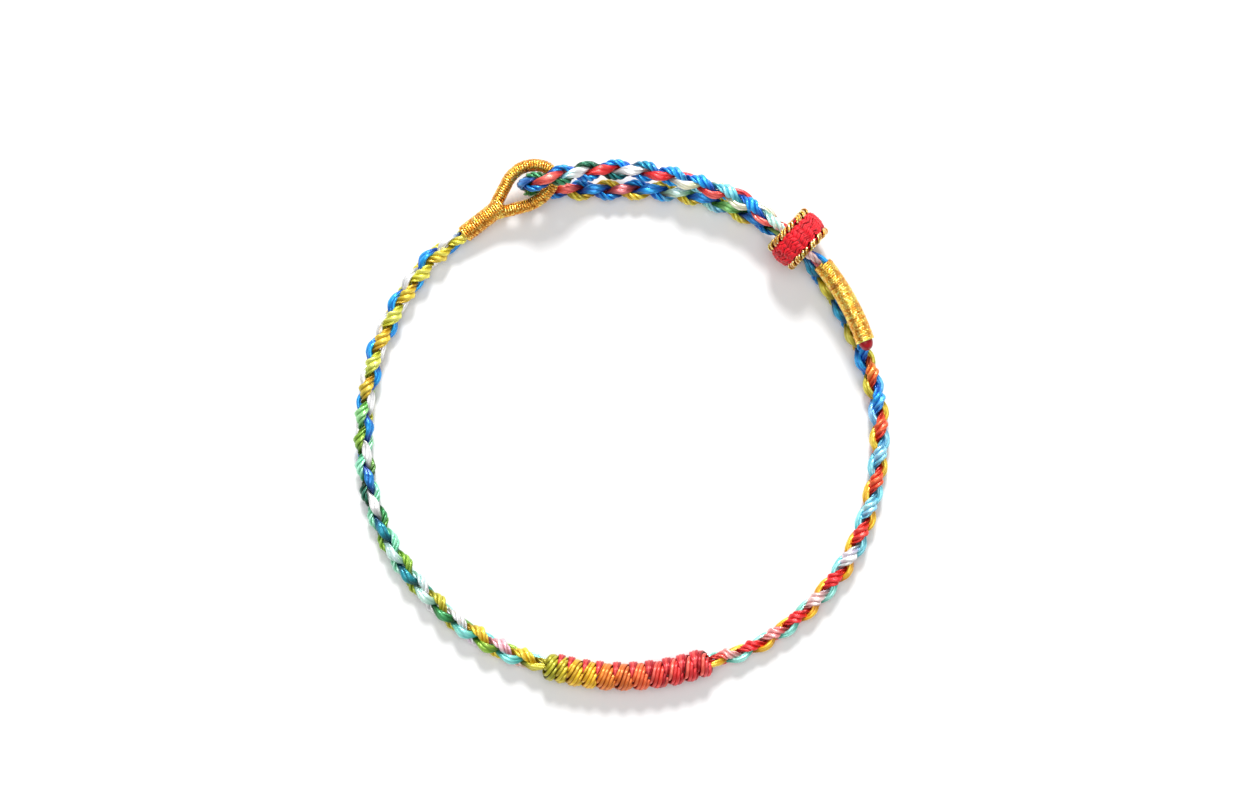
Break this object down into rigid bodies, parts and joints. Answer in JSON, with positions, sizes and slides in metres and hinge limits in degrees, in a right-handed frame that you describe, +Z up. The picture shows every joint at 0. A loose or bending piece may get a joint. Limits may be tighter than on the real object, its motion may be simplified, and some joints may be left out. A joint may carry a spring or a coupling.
{
  "type": "braided cord bracelet",
  "caption": "Adjustable braided cord bracelet with a gold-wrapped loop, a sliding woven bead, a gold-wrapped cord end and a wound bar.",
  "frame": {"origin": "centre of the bracelet's bottom, on the surface it lies on", "axes": "+Z up through the wrist opening, +Y towards the doubled cords and the gold loop, +X towards the cord opposite the loop's side"},
  "size_m": [0.0617, 0.0611, 0.0068],
  "materials": {
    "cord_thread_1": "satin thread, dyed golden yellow to green and red",
    "cord_thread_2": "satin thread, dyed lime to mint, white and pink",
    "cord_thread_3": "satin thread, dyed blue to teal and yellow",
    "cord_thread_4": "satin thread, dyed pale mint to cyan and blue",
    "bar_thread": "satin thread, dyed olive yellow through orange to red",
    "gold_thread": "metallic gold thread",
    "red_thread": "satin thread, crimson",
    "cap_thread": "sealed thread end, dark red"
  },
  "bodies": {
    "root": {"strand_1": "cord_thread_1", "strand_2": "cord_thread_2", "strand_3": "cord_thread_3", "strand_4": "cord_thread_4", "wound_bar": "bar_thread", "gold_loop": "gold_thread", "slider_band": "red_thread", "slider_rim_loop_side": "gold_thread", "slider_rim_tip_side": "gold_thread", "gold_tip": "gold_thread", "tip_cap": "cap_thread"}
  },
  "joints": []
}
